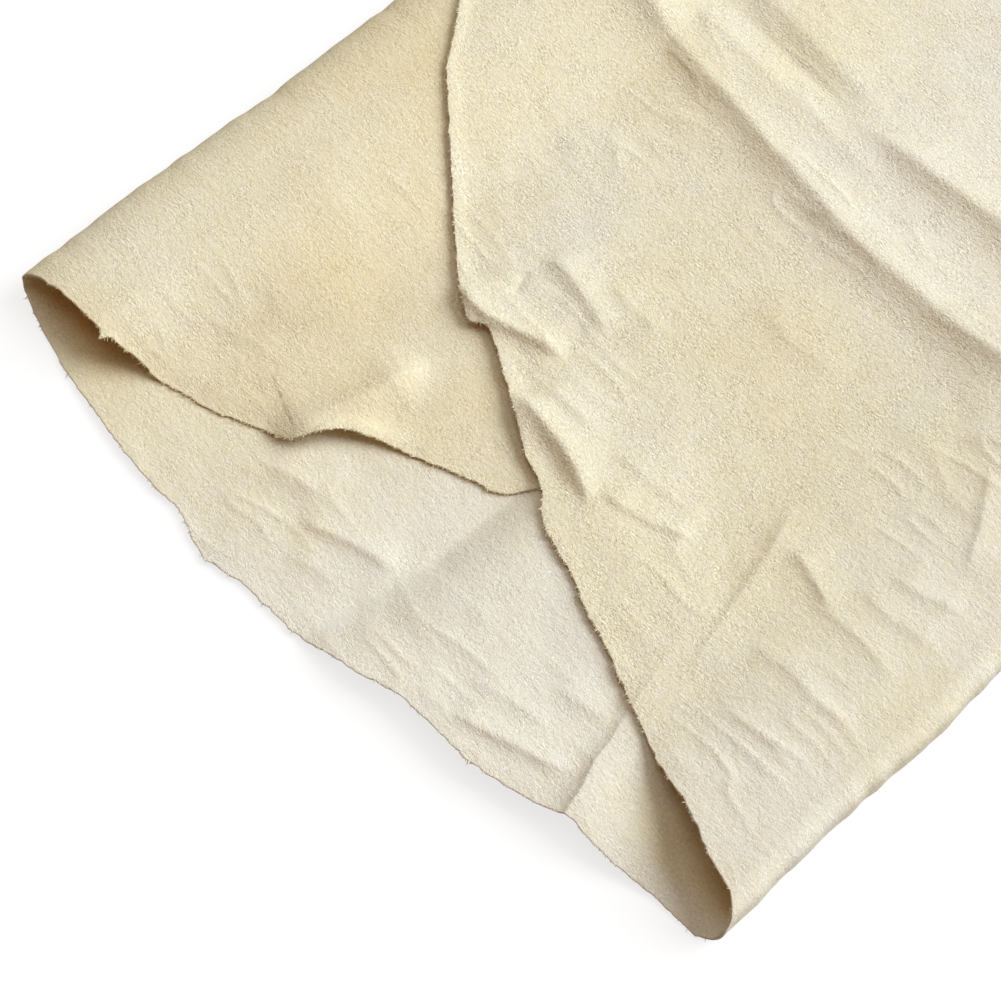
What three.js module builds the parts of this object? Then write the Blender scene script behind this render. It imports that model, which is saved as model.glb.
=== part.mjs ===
// Chamois leather folded in three like a letter: one skin, made as the five panels between its bend lines.
// Millimetres, +Z up, +Y along the folds away from the open end, origin under the middle of the strip.
import * as THREE from "three";

// The leather and the folded strip
const SKIN = 1.1;
const STRIP_WIDTH = 245;
const STRIP_LENGTH = 470;
const BEND_GAP = 0.3;

// Each fold: radius at the skin's middle, lowest height of its flap, and how far the flap takes to fall
const LEFT_FOLD = { side: -1, radius: 6, low: 2.4, fall: 50 };
const RIGHT_FOLD = { side: 1, radius: 6.5, low: 4.6, fall: 45 };

// How the right flap lies on the left one
const FLAP_REST = 0.5;
const DRAPE_SOFTNESS = 1.5;

// Cut edges were measured on a strip of this width, and spread with the real one
const MEASURED_WIDTH = 245;

// Base's cut ends: [place across from the middle, distance in from that end of the strip]
const BASE_NEAR = [
  [-122, 14], [-98, 7], [-60, 3], [-31, 0], [-2, 3], [15, 7],
  [30, 11], [60, 14], [78, 19], [110, 20], [122, 23],
];
const BASE_FAR = [[-122, 16], [-60, 4], [0, 0], [55, 5], [122, 20]];

// Flaps' cut ends: [reach in from the outside of the fold, distance in from that end of the strip]
const LEFT_NEAR = [[2, 17], [12, 17.5], [36, 20.5], [63, 27], [83, 37], [90, 45], [120, 62], [128, 66]];
const LEFT_FAR = [[2, 20], [60, 30], [114, 52]];
const RIGHT_NEAR = [
  [2, 28.5], [32, 40.5], [56, 48.5], [87, 60.5], [103, 66], [110, 72],
  [141, 88], [163, 95], [192, 117], [218, 139], [232, 158],
];
const RIGHT_FAR = [[2, 24], [100, 38], [180, 60], [222, 80]];

// Flaps' long free edges: [share of the way from the near tip to the far one, reach in from the fold]
const LEFT_FREE = [[0, 128], [0.05, 123], [0.3, 118], [0.6, 121], [1, 114]];
const RIGHT_FREE = [[0, 232], [0.2, 236], [0.6, 233], [1, 222]];

// Pleat in the base beside the right fold, and the ridge across the right flap
const PLEAT = { across: 78, lean: -0.27, height: 4, rise: 5, fall: 20, start: 20, length: 70 };
const CROSS_RIDGE = { inset: 188, lean: -0.1, height: 2.5, width: 9, fade: 40 };

// Colours of the leather
const BASE_COLOUR = 0xe6dcc4;
const BEND_COLOUR = 0xdccda6;
const LEFT_COLOUR = 0xe2d4ae;
const RIGHT_COLOUR = 0xe7dec0;

// How finely the panels are drawn
const ROWS = 24;
const ARC_STEPS = 4;
const WIDE_STEPS = 18;
const NARROW_STEPS = 12;

// Derived sizes
const HALF_WIDTH = STRIP_WIDTH / 2;
const HALF_LENGTH = STRIP_LENGTH / 2;
const SPREAD = STRIP_WIDTH / MEASURED_WIDTH;
const LOWER_BEND = Math.PI / 4;
const UPPER_BEND = 3 * LOWER_BEND;
const left = foldShape(LEFT_FOLD);
const right = foldShape(RIGHT_FOLD);

// Centre of a fold's bend, where its round part ends, and the fall of its flap from there
function foldShape({ side, radius, low, fall }) {
  const centreX = side * (HALF_WIDTH - SKIN / 2 - radius);
  const centreZ = SKIN / 2 + radius;
  const dip = Math.atan((centreZ + radius - low) / fall);
  const endX = centreX - side * radius * Math.sin(dip);
  const endZ = centreZ + radius * Math.cos(dip);
  const edge = BEND_GAP / 2 / radius;
  const fallLength = (endZ - low) / Math.tan(dip);
  return { side, radius, low, centreX, centreZ, dip, endX, endZ, edge, fallLength };
}

// Point of a bend at an angle counted from the table, through the outside of the fold, to the top
function bendPoint(fold, angle) {
  return {
    x: fold.centreX + fold.side * fold.radius * Math.sin(angle),
    z: fold.centreZ - fold.radius * Math.cos(angle),
  };
}

// Smooth curve through points of rising first value
function follow(points, at) {
  const last = points.length - 1;
  let i = 0;
  while (i < last - 1 && at > points[i + 1][0]) {
    i += 1;
  }
  const slope = (k) => {
    const a = points[Math.max(k - 1, 0)];
    const b = points[Math.min(k + 1, last)];
    return (b[1] - a[1]) / (b[0] - a[0]);
  };
  const [x0, y0] = points[i];
  const [x1, y1] = points[i + 1];
  const span = x1 - x0;
  const t = THREE.MathUtils.clamp((at - x0) / span, 0, 1);
  const m0 = slope(i) * span;
  const m1 = slope(i + 1) * span;
  const bulge = t * (1 - t) * ((1 - t) * (m0 - (y1 - y0)) - t * (m1 - (y1 - y0)));
  return THREE.MathUtils.lerp(y0, y1, t) + bulge;
}

// Distance in from an end of the strip, at a place measured on the cut edges
function inset(points, at) {
  return follow(points, at / SPREAD);
}

function bell(distance, width) {
  return Math.exp(-((distance / width) ** 2));
}

function softMax(a, b, softness) {
  return (a + b + Math.hypot(a - b, softness)) / 2;
}

// Height of the middle of the skin in the base, with its pleat
function baseHeight(x, fromNear) {
  const along = fromNear - PLEAT.start;
  const past = x - SPREAD * (PLEAT.across + PLEAT.lean * along);
  const shape = past < 0 ? bell(past, PLEAT.rise) : bell(past, PLEAT.fall);
  return SKIN / 2 + PLEAT.height * shape * bell(Math.max(along, 0), PLEAT.length);
}

// Height of a flap as it comes down from its fold
function fallHeight(fold, x) {
  const run = Math.max(fold.side * (fold.endX - x), 0);
  return fold.low + (fold.endZ - fold.low) * Math.exp(-run / fold.fallLength);
}

// Height of the right flap, which lies over the left one and has a ridge of its own
function rightHeight(x, fromNear) {
  const own = fallHeight(right, x);
  const onLeft = fallHeight(left, x) + SKIN + FLAP_REST;
  const ridgeAt = CROSS_RIDGE.inset + CROSS_RIDGE.lean * x;
  const fade = THREE.MathUtils.clamp((right.endX - x) / CROSS_RIDGE.fade, 0, 1);
  const ridge = CROSS_RIDGE.height * fade * bell(fromNear - ridgeAt, CROSS_RIDGE.width);
  return softMax(own, onLeft, DRAPE_SOFTNESS) + ridge;
}

// Base: step -1 to 0 is the left bend, 0 to 1 the flat and 1 to 2 the right bend
function basePlace(step, v) {
  const flat = THREE.MathUtils.clamp(step, 0, 1);
  let x = THREE.MathUtils.lerp(left.centreX, right.centreX, flat);
  let lift = 0;
  if (step < 0 || step > 1) {
    const fold = step < 0 ? left : right;
    const point = bendPoint(fold, Math.abs(step - flat) * (LOWER_BEND - fold.edge));
    x = point.x;
    lift = point.z - SKIN / 2;
  }
  const near = inset(BASE_NEAR, x) - HALF_LENGTH;
  const far = HALF_LENGTH - inset(BASE_FAR, x);
  const y = THREE.MathUtils.lerp(near, far, v);
  return new THREE.Vector3(x, y, baseHeight(x, y + HALF_LENGTH) + lift);
}

// Bend: step 0 to 1 goes around the outside of the fold between its two bend lines
function bendPlace(fold, ends) {
  return (step, v) => {
    const from = LOWER_BEND + fold.edge;
    const to = UPPER_BEND - fold.edge;
    const { x, z } = bendPoint(fold, THREE.MathUtils.lerp(from, to, step));
    const outside = fold.side * HALF_WIDTH;
    const near = THREE.MathUtils.lerp(inset(ends.baseNear, outside), ends.flapNear[0][1], step);
    const far = THREE.MathUtils.lerp(inset(ends.baseFar, outside), ends.flapFar[0][1], step);
    return new THREE.Vector3(x, THREE.MathUtils.lerp(near - HALF_LENGTH, HALF_LENGTH - far, v), z);
  };
}

// Flap: step -1 to 0 is the rest of the bend, 0 to 1 runs from there to the free edge
function flapPlace(fold, ends, height) {
  const endReach = HALF_WIDTH - fold.side * fold.endX;
  const spot = (step, v) => {
    if (step <= 0) {
      const from = UPPER_BEND + fold.edge;
      const point = bendPoint(fold, THREE.MathUtils.lerp(Math.PI + fold.dip, from, -step));
      return { ...point, reach: HALF_WIDTH - fold.side * point.x };
    }
    const reach = THREE.MathUtils.lerp(endReach, SPREAD * follow(ends.free, v), step);
    return { x: fold.side * (HALF_WIDTH - reach), reach };
  };
  return (step, v) => {
    const near = inset(ends.flapNear, spot(step, 0).reach) - HALF_LENGTH;
    const far = HALF_LENGTH - inset(ends.flapFar, spot(step, 1).reach);
    const y = THREE.MathUtils.lerp(near, far, v);
    const { x, z } = spot(step, v);
    return new THREE.Vector3(x, y, z ?? height(x, y + HALF_LENGTH));
  };
}

// Even steps between two values, ends included
function steps(from, to, count) {
  return Array.from({ length: count + 1 }, (_, i) => THREE.MathUtils.lerp(from, to, i / count));
}

// Closed panel of even thickness about the middle surface that place(step, v) gives
function panel(name, colour, columns, place) {
  const shares = steps(0, 1, ROWS);
  const nudge = 1e-4;
  const points = [];
  for (const face of [1, -1]) {
    for (const v of shares) {
      for (const step of columns) {
        const across = place(step + nudge, v).sub(place(step - nudge, v));
        const along = place(step, v + nudge).sub(place(step, v - nudge));
        const normal = across.cross(along).normalize();
        points.push(...place(step, v).addScaledVector(normal, (face * SKIN) / 2));
      }
    }
  }

  const wide = columns.length;
  const under = wide * shares.length;
  const index = [];
  const quad = (a, b, c, d) => index.push(a, b, c, a, c, d);
  for (let j = 0; j < ROWS; j += 1) {
    for (let i = 0; i < wide - 1; i += 1) {
      const a = j * wide + i;
      quad(a, a + 1, a + 1 + wide, a + wide);
      quad(under + a, under + a + wide, under + a + 1 + wide, under + a + 1);
    }
  }
  for (let i = 0; i < wide - 1; i += 1) {
    const a = ROWS * wide + i;
    quad(under + i, under + i + 1, i + 1, i);
    quad(under + a + 1, under + a, a, a + 1);
  }
  for (let j = 0; j < ROWS; j += 1) {
    const a = j * wide;
    const b = a + wide - 1;
    quad(under + a + wide, under + a, a, a + wide);
    quad(under + b, under + b + wide, b + wide, b);
  }

  const geometry = new THREE.BufferGeometry();
  geometry.setAttribute("position", new THREE.Float32BufferAttribute(points, 3));
  geometry.setIndex(index);
  geometry.computeVertexNormals();
  const mesh = new THREE.Mesh(geometry, new THREE.MeshStandardMaterial({ color: colour, roughness: 0.95 }));
  mesh.name = name;
  return mesh;
}

// The five panels of the skin
const leftEnds = {
  baseNear: BASE_NEAR, baseFar: BASE_FAR, flapNear: LEFT_NEAR, flapFar: LEFT_FAR, free: LEFT_FREE,
};
const rightEnds = {
  baseNear: BASE_NEAR, baseFar: BASE_FAR, flapNear: RIGHT_NEAR, flapFar: RIGHT_FAR, free: RIGHT_FREE,
};
const arc = steps(-1, 0, ARC_STEPS);
const bendSteps = steps(0, 1, 2 * ARC_STEPS);
const baseSteps = [...arc.slice(0, -1), ...steps(0, 1, WIDE_STEPS), ...arc.map((t) => t + 2).slice(1)];
const leftSteps = [...arc, ...steps(0, 1, NARROW_STEPS).slice(1)];
const rightSteps = [...arc, ...steps(0, 1, WIDE_STEPS).slice(1)];
const leftHeight = (x) => fallHeight(left, x);

const group = new THREE.Group();
group.name = "chamois_leather";
group.add(panel("base_panel", BASE_COLOUR, baseSteps, basePlace));
group.add(panel("left_bend", BEND_COLOUR, bendSteps, bendPlace(left, leftEnds)));
group.add(panel("left_flap", LEFT_COLOUR, leftSteps, flapPlace(left, leftEnds, leftHeight)));
group.add(panel("right_bend", BEND_COLOUR, bendSteps, bendPlace(right, rightEnds)));
group.add(panel("right_flap", RIGHT_COLOUR, rightSteps, flapPlace(right, rightEnds, rightHeight)));

export default group;
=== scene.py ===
# Chamois leather folded in three: the look of the skin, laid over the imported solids
import math

import bpy
import numpy as np
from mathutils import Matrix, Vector


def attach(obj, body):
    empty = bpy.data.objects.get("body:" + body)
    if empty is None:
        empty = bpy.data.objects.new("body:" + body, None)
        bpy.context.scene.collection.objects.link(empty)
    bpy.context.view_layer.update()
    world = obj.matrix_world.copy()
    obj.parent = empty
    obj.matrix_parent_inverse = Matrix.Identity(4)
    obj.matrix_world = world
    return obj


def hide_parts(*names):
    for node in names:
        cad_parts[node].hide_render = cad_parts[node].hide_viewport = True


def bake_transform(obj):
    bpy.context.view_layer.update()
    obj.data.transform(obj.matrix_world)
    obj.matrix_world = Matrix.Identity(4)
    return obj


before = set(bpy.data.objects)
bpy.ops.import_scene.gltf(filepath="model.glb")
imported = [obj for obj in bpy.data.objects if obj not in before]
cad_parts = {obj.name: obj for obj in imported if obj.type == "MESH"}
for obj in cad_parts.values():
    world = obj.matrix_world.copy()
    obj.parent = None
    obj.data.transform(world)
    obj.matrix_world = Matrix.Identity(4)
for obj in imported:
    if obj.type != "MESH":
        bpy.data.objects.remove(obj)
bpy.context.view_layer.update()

# Camera: a 78 mm lens, 65 degrees above the table, seen across the open end of the strip
LENS = 78.0
SENSOR_WIDTH = 36.0
CAMERA_AT = (0.1741, -0.3273, 0.4914)
CAMERA_LOOKS_AT = (0.0065, -0.171, 0.0)


def aim(obj, target):
    """Turns a camera or lamp at a point."""
    direction = Vector(target) - obj.location
    obj.rotation_euler = direction.to_track_quat("-Z", "Y").to_euler()


def add_camera():
    camera = bpy.data.objects.new("camera", bpy.data.cameras.new("camera"))
    camera.data.lens = LENS
    camera.data.sensor_width = SENSOR_WIDTH
    camera.location = CAMERA_AT
    aim(camera, CAMERA_LOOKS_AT)
    bpy.context.scene.collection.objects.link(camera)
    bpy.context.scene.camera = camera


add_camera()

# The folded strip in millimetres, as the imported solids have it
SKIN = 1.1
HALF_WIDTH = 122.5
HALF_LENGTH = 235.0
MM = 0.001

# Cut ends of the base: place across, distance in from the near or far end
BASE_NEAR = [
    (-116, 12), (-97, 7.3), (-81, 5), (-60, 3), (-45, 3), (-31.5, -0.3), (-21, 2), (-1, 3), (17, 6.5),
    (31.5, 10), (42, 10.4), (54, 11.1), (61, 12.8), (72.5, 15.7), (78.5, 18), (88, 18.3), (99, 20.2),
    (116, 21.8),
]
BASE_FAR = [(-122, 16), (-60, 4), (0, 0), (55, 5), (122, 20)]

# Cut ends of the flaps: reach in from the outside of the fold, distance in from the end
LEFT_NEAR = [
    (7.4, 16.4), (14, 18), (21, 18.4), (29.7, 19), (36.4, 21), (45.5, 22.8), (54.7, 25.3), (62.8, 27.6),
    (71, 31.6), (79.3, 34.6), (83.7, 36.8), (85.7, 40.7), (88.2, 45), (91.3, 48.1), (96.5, 51.5),
    (102.6, 54.1), (110, 57.1), (120, 61.8), (130, 66.5), (132.4, 69.9), (135, 73),
]
LEFT_FAR = [(2, 20), (60, 30), (114, 52)]
RIGHT_NEAR = [
    (7.8, 31.7), (16, 34.8), (26.5, 39.1), (33, 40.6), (39.6, 42.3), (50, 46.6), (57, 49.3), (67.5, 53.3),
    (77.3, 56.7), (87.3, 60.7), (96.5, 63.4), (103, 66), (110, 72.3), (118, 75), (129.7, 81.8),
    (141.5, 88.3), (147.3, 91.3), (152.2, 93.4), (157, 91.4), (163, 94.2), (173.7, 102.3), (191.4, 116.7),
    (209.4, 131.8), (214.5, 136.2), (220.4, 144.1), (228.5, 154.2), (232.5, 159),
]
RIGHT_FAR = [(2, 24), (100, 38), (180, 60), (222, 80)]

# How far the flaps' near edges sink, or lift if below 0: reach in from the fold, sink
LEFT_SINK = [(0, 0), (36, 0), (46, 0.5), (74, 0.5), (82, 0), (86, -2), (94, -2), (105, 0.1), (135, 0.3)]
RIGHT_SINK = [
    (0, 0), (50, 0), (60, -0.3), (95, -0.3), (104, -0.2), (114, -0.9), (140, -1), (150, -0.5), (160, -0.6),
    (195, -0.8), (232, -0.7),
]
SINK_WIDTH = 4.0

# Long free edges of the flaps: share of the way from the near tip, reach in from the fold
LEFT_FREE = [(0, 135), (0.015, 133), (0.05, 123), (0.3, 118), (0.6, 121), (1, 114)]
RIGHT_FREE = [(0, 232.5), (0.2, 236), (0.6, 233), (1, 222)]

# Small torn tag on the left flap's near edge: reach in from the fold, length, width
TAG_AT = 30.5
TAG_LENGTH = 2.2
TAG_WIDTH = 0.7

# Unevenness of the cut edges: its swells as (height, size), the length a free edge counts as, seeds
RAG = [(0.2, 2.6), (0.15, 8), (0.22, 1.5)]
FREE_RUN = 300
BASE_NEAR_SEED = 41
BASE_FAR_SEED = 43
BEND_SEED = 45
FREE_SEED = 47
FLAP_NEAR_SEED = 51
FLAP_FAR_SEED = 54

# Wander of the folds: where across it starts, over what distance, its swells, their row and seed
WANDER_FROM = 70
WANDER_OVER = 50
WANDER = [(1.0, 34), (0.45, 12), (0.28, 4.5)]
WANDER_ROW = 5
WANDER_SEED = 61

# How the flaps lie on what is under them: the gap, the softness of the drape, and that over the bare base
FLAP_REST = 0.25
DRAPE_SOFTNESS = 0.5
BASE_DRAPE_SOFTNESS = 1.0

# Length of the shelf behind a bend, and where along the strip the flaps' fall widens
SHELF_LENGTH = 40
FALL_WIDENS_FROM = 25
FALL_WIDENS_OVER = 50

# Wrinkles as (line of places across and in from the near end, height, near width, far width, fade)
BASE_WRINKLES = [
    ([(-25, 22), (-14, 27), (-5, 30), (6, 32.5)], 1.1, 1.7, 6, 8),
    ([(-42, 27), (-32, 30.5), (-22, 31.5)], 0.9, 2, 6, 8),
    ([(-20, 14), (-10, 18), (0, 19)], 0.5, 2, 5, 8),
    ([(40, 15), (55, 20.5), (65, 23.5), (73, 27)], 1.0, 1.5, 5, 8),
    ([(34, 24), (48, 28), (62, 31)], 0.6, 1.8, 6, 9),
    ([(52, 38), (62, 40), (70, 42)], 0.6, 1.6, 4, 6),
]
LEFT_WRINKLES = [
    ([(-46, 28), (-40.5, 38), (-38.5, 48), (-36, 58), (-34.5, 68), (-31, 80)], 4.2, 5, 7, 16),
    ([(-29, 50), (-23, 62), (-13, 79)], -1.3, 4, 4, 10),
    ([(-104, 78), (-92, 90), (-84, 100)], 1.2, 7, 10, 14),
    ([(-96, 24), (-84, 30), (-72, 38)], 0.7, 5, 7, 10),
]
LONG_RIDGE = (
    [(-125, 202), (-78, 195), (-50, 190), (-35, 188.5), (-20, 186), (0, 183.5), (10, 181.5), (20, 181),
     (50, 180.5), (70, 181), (92, 183)], 3.4, 5, 13, 30,
)
RIGHT_WRINKLES = [
    LONG_RIDGE,
    ([(-80, 205), (-50, 203), (-20, 202), (0, 200), (16, 198)], 1.1, 5, 9, 20),
    ([(-62, 212), (-40, 211.5), (-20, 210), (-8, 209)], -1.0, 5, 5, 14),
    ([(-95, 226), (-50, 221), (-25, 218), (0, 217)], 2.0, 6, 18, 24),
    ([(-16, 208.5), (0, 210), (12, 210.5), (22, 211), (40, 212.5), (65, 216), (95, 224)], 3.6, 5.5, 18, 30),
    ([(-36, 120.5), (-26, 119), (-14, 116.5), (-5, 114)], 2.0, 3.4, 9, 8),
    ([(-20, 126), (-8, 124.5), (4, 125)], 0.6, 2, 6, 7),
    ([(-46, 97), (-38, 95), (-32, 95), (-24, 97.5), (-17, 100), (-9, 102.5)], 2.4, 1.8, 8, 8),
    ([(-35, 113), (-32, 104)], -0.6, 1.2, 1.2, 3),
    ([(-12, 86), (0, 84.5), (8, 83.5), (15, 81.5), (22, 78.5), (29, 73.5)], 3.2, 3, 7, 9),
    ([(23, 81), (33, 83), (40, 85.2), (51, 90.5)], 2.1, 1.7, 7, 7),
    ([(28, 77), (38, 68.5), (47, 61), (54, 54)], 0.7, 1.8, 2.6, 8),
    ([(16, 92.5), (26, 92.5), (34, 93), (42, 95.5)], 0.5, 1.4, 6, 7),
    ([(-8, 93), (4, 93), (12, 94)], 0.7, 1.6, 6, 7),
    ([(58, 116), (61.5, 108), (64.5, 99), (66.5, 90), (68.5, 80), (71, 70), (73, 60)], 0.75, 1.6, 5, 12),
    ([(66, 104.5), (74, 103), (86, 98.5)], 1.0, 1.6, 6, 6),
    ([(84, 158), (90, 149), (95, 141), (99, 133), (103, 126)], 0.7, 1.5, 5, 10),
    ([(80, 97), (90, 98), (100, 97), (110, 94)], 0.6, 1.6, 5, 8),
    ([(76, 79), (90, 80), (102, 78.5), (116, 79)], 0.5, 1.6, 5, 8),
    ([(88, 115), (98, 117), (110, 121)], 0.65, 1.6, 6, 7),
    ([(84, 108), (96, 107), (112, 109)], 0.45, 1.6, 6, 8),
    ([(82, 62), (96, 64), (110, 62)], 0.35, 1.8, 6, 8),
    ([(-78, 150), (-62, 148), (-48, 149)], 0.6, 3, 8, 10),
    ([(10, 150), (26, 148), (44, 150)], 0.5, 3, 9, 10),
]

# Where across the longest ridge is added to what lies under the right flap, and over what distance
RIDGE_OVER_TO = -45
RIDGE_OVER_EASE = 25

# How round the crests are: at least so many millimetres, or a share of the near side's width
CREST_ROUND = 0.6
CREST_SHARE = 0.3

# Base steps up along this line to a low plateau that the right flap lies on
BASE_STEP = [(-2, -10), (1, 10), (5, 26), (8, 40), (8.5, 70), (10, 110)]
BASE_STEP_HEIGHT = 4.9
BASE_STEP_POWER = 1.5
PLATEAU_EDGE = 30

# Width of the step and height of the plateau along the strip: start, distance, value before, value after
BASE_STEP_WIDTH = (20, 25, 11, 7.5)
PLATEAU_FADE = (70, 40, 1, 0.2)

# Pleat of the base beside the right fold: its right side stands over its left side
PLEAT_LINE = [
    (78, 15), (77.2, 20), (76, 25), (73.2, 32), (72.2, 38), (70.4, 44), (69.5, 49), (63, 75), (60, 95),
]
PLEAT_START = 78.0
PLEAT_FROM = 10.0
PLEAT_TO = 104.0
PLEAT_HEIGHT = 2.2
PLEAT_FALL = 20.0
PLEAT_LIP = 2.6
PLEAT_FULL_TO = 20.0
PLEAT_LENGTH = 32.0

# Broad swells of each part as (height, size), its first seed, and how far in its fine creases are seen
BASE_SWELLS = [(0.2, 14), (0.4, 34)]
BASE_SEED = 10
BASE_FINE_TO = 85
LEFT_SWELLS = [(0.4, 40)]
LEFT_SEED = 21
LEFT_FINE_TO = 145
RIGHT_SWELLS = [(0.5, 45)]
RIGHT_SEED = 31
RIGHT_FINE_TO = 245

# How high the base stands on the table, and how softly it meets it
BASE_LIFT = 0.6
BASE_SOFTNESS = 0.4

# How far from the bends the relief of each part is full
BASE_RISE = 25
LEFT_RISE = 30
RIGHT_RISE = 14

# Half the distance over which the right flap comes down from the left one to the base
CROSSING = 8

# Small unevenness everywhere: dents as (height, size), then patches of fine creases, both fading farther in
DENTS = [(0.16, 11), (0.08, 5.5)]
CREASE_HEIGHT = 0.3
CREASE_SIZE = 5.5
CREASE_STRETCH = 3.2
CREASE_POWER = 3
CREASE_BEND = 3
CREASE_BEND_SIZE = 22
CREASE_COVER = 0.35
CREASE_CONTRAST = 0.9
CREASE_PATCH_SIZE = 26
FINE_FADE = 30
FINE_LEFT = 0.3

# Cells of the seeded noise each way, before it repeats
NOISE_CELLS = 64


def mix(a, b, t):
    return a + (b - a) * t


def ease(t):
    t = np.clip(t, 0, 1)
    return t * t * (3 - 2 * t)


def change(at, start, over, before, after):
    """Value that eases from one to another over a distance past a start."""
    return mix(before, after, ease((at - start) / over))


def soft_max(a, b, softness):
    return (a + b + np.hypot(a - b, softness)) / 2


def follow(points, at):
    """Smooth curve through points of rising first value."""
    px, py = np.array(points, float).T
    slope = np.gradient(py, px)
    i = np.clip(np.searchsorted(px, at) - 1, 0, len(px) - 2)
    span = px[i + 1] - px[i]
    t = np.clip((at - px[i]) / span, 0, 1)
    rise = py[i + 1] - py[i]
    bulge = t * (1 - t) * ((1 - t) * (slope[i] * span - rise) - t * (slope[i + 1] * span - rise))
    return py[i] + rise * t + bulge


def line_at(points, s):
    """Place across of a line that runs along the strip."""
    px, ps = np.array(points, float).T
    return np.interp(s, ps, px)


def swells(x, y, size, seed):
    """Smooth seeded noise from -1 to 1, with swells of about that size."""
    table = np.random.default_rng(seed).uniform(-1, 1, (NOISE_CELLS, NOISE_CELLS))
    gx, gy = np.asarray(x) / size, np.asarray(y) / size
    ix, iy = np.floor(gx).astype(int), np.floor(gy).astype(int)
    tx, ty = ease(gx - ix), ease(gy - iy)

    def cell(i, j):
        return table[(ix + i) % NOISE_CELLS, (iy + j) % NOISE_CELLS]

    return mix(mix(cell(0, 0), cell(1, 0), tx), mix(cell(0, 1), cell(1, 1), tx), ty)


def swell_sum(x, y, layers, seed):
    """Sum of swells given as (height, size), with seeds that run on from the first."""
    return sum(height * swells(x, y, size, seed + i) for i, (height, size) in enumerate(layers))


class Fold:
    """One fold of the skin: a bend, then a shelf, then the flap falls to what it lies on.

    tip is where the outside of the bend is cut; near, far, free and sink are the lists of the flap's edges.
    Each half of the bend is square where its power is low, oval at 1 and pointed above.
    The fall runs between two reaches from the outside; the second is given at the near end and inside.
    """

    def __init__(self, side, tip, near, far, free, sink, round_in, radius, power_low, power_high,
                 tilt, low, fall_from, fall_to, fall_to_inside):
        self.side = side
        self.tip = tip
        self.near = near
        self.far = far
        self.free = free
        self.sink = sink
        self.round_in = round_in
        self.radius = radius
        self.power_low = power_low
        self.power_high = power_high
        self.tilt = tilt
        self.low = low
        self.fall_from = fall_from
        self.fall_to = fall_to
        self.fall_to_inside = fall_to_inside
        self.centre_x = side * (HALF_WIDTH - SKIN / 2 - round_in)
        self.centre_z = SKIN / 2 + radius
        self.dip = math.atan(round_in / (power_high * radius) * tilt)
        self.end_x = self.centre_x - side * round_in * math.sin(self.dip)
        self.end_z = self.centre_z + radius * math.cos(self.dip) ** power_high
        self.end_reach = HALF_WIDTH - side * self.end_x
        self.bend_length = math.pi * (round_in + radius) / 2

    def fall_height(self, x, s):
        """Height of the flap from the end of the bend to where it lies."""
        reach = HALF_WIDTH - self.side * x
        shelf = self.end_z - self.tilt * np.clip(reach - self.end_reach, 0, SHELF_LENGTH)
        fall_to = change(s, FALL_WIDENS_FROM, FALL_WIDENS_OVER, self.fall_to, self.fall_to_inside)
        return change(reach, self.fall_from, fall_to - self.fall_from, shelf, self.low)


LEFT = Fold(
    side=-1, tip=14.8, near=LEFT_NEAR, far=LEFT_FAR, free=LEFT_FREE, sink=LEFT_SINK,
    round_in=16.0, radius=6.0, power_low=0.4, power_high=1.3,
    tilt=0.03, low=2.0, fall_from=26, fall_to=50, fall_to_inside=76,
)
RIGHT = Fold(
    side=1, tip=26.0, near=RIGHT_NEAR, far=RIGHT_FAR, free=RIGHT_FREE, sink=RIGHT_SINK,
    round_in=4.5, radius=6.5, power_low=0.42, power_high=0.42,
    tilt=0.1, low=4.2, fall_from=26, fall_to=76, fall_to_inside=84,
)


def wrinkle(x, s, points, height, near_width, far_width, fade):
    """Ridge, or hollow if height is below 0, along a line: its sides can fall at different rates."""
    crest = max(CREST_ROUND, CREST_SHARE * near_width)
    best = np.full(np.shape(x), np.inf)
    width = np.full(np.shape(x), float(far_width))
    along = np.zeros(np.shape(x))
    walked = 0.0
    for (x0, s0), (x1, s1) in zip(points, points[1:]):
        dx, ds = x1 - x0, s1 - s0
        size = math.hypot(dx, ds)
        t = np.clip(((x - x0) * dx + (s - s0) * ds) / size**2, 0, 1)
        distance = np.hypot(x - x0 - t * dx, s - s0 - t * ds)
        nearer = distance < best
        far_side = dx * (s - s0) - ds * (x - x0) > 0
        best = np.where(nearer, distance, best)
        width = np.where(nearer, np.where(far_side, far_width, near_width), width)
        along = np.where(nearer, walked + t * size, along)
        walked += size
    ends = ease(along / fade) * ease((walked - along) / fade)
    return height * np.exp(-(np.hypot(best, crest) - crest) / width) * ends


def wrinkles(x, s, lines):
    return sum(wrinkle(x, s, *line) for line in lines)


def ripples(x, s, seed, fine_to):
    """Small unevenness that the skin has everywhere, less where rows are few: dents, patches of creases."""
    dents = swell_sum(x, s, DENTS, seed)
    bent_s = s + CREASE_BEND * swells(x, s, CREASE_BEND_SIZE, seed + 2)
    crests = 1 - np.abs(swells(x / CREASE_STRETCH, bent_s, CREASE_SIZE, seed + 3))
    patches = ease(CREASE_COVER + CREASE_CONTRAST * swells(x, s, CREASE_PATCH_SIZE, seed + 4))
    creases = CREASE_HEIGHT * crests**CREASE_POWER * patches
    return (dents + creases) * change(s, fine_to, FINE_FADE, 1, FINE_LEFT)


def unevenness(x, s, layers, seed, fine_to):
    """Broad swells of a part of the skin, and the small unevenness on them."""
    return swell_sum(x, s, layers, seed) + ripples(x, s, seed + len(layers), fine_to)


def step_up(x, s):
    """Step of the base towards the right: soon after its line, then easing off; slower at the near end."""
    past = np.maximum(x - line_at(BASE_STEP, s), 0)
    width = change(s, *BASE_STEP_WIDTH)
    return BASE_STEP_HEIGHT * (1 - np.exp(-((past / width) ** BASE_STEP_POWER)))


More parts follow.
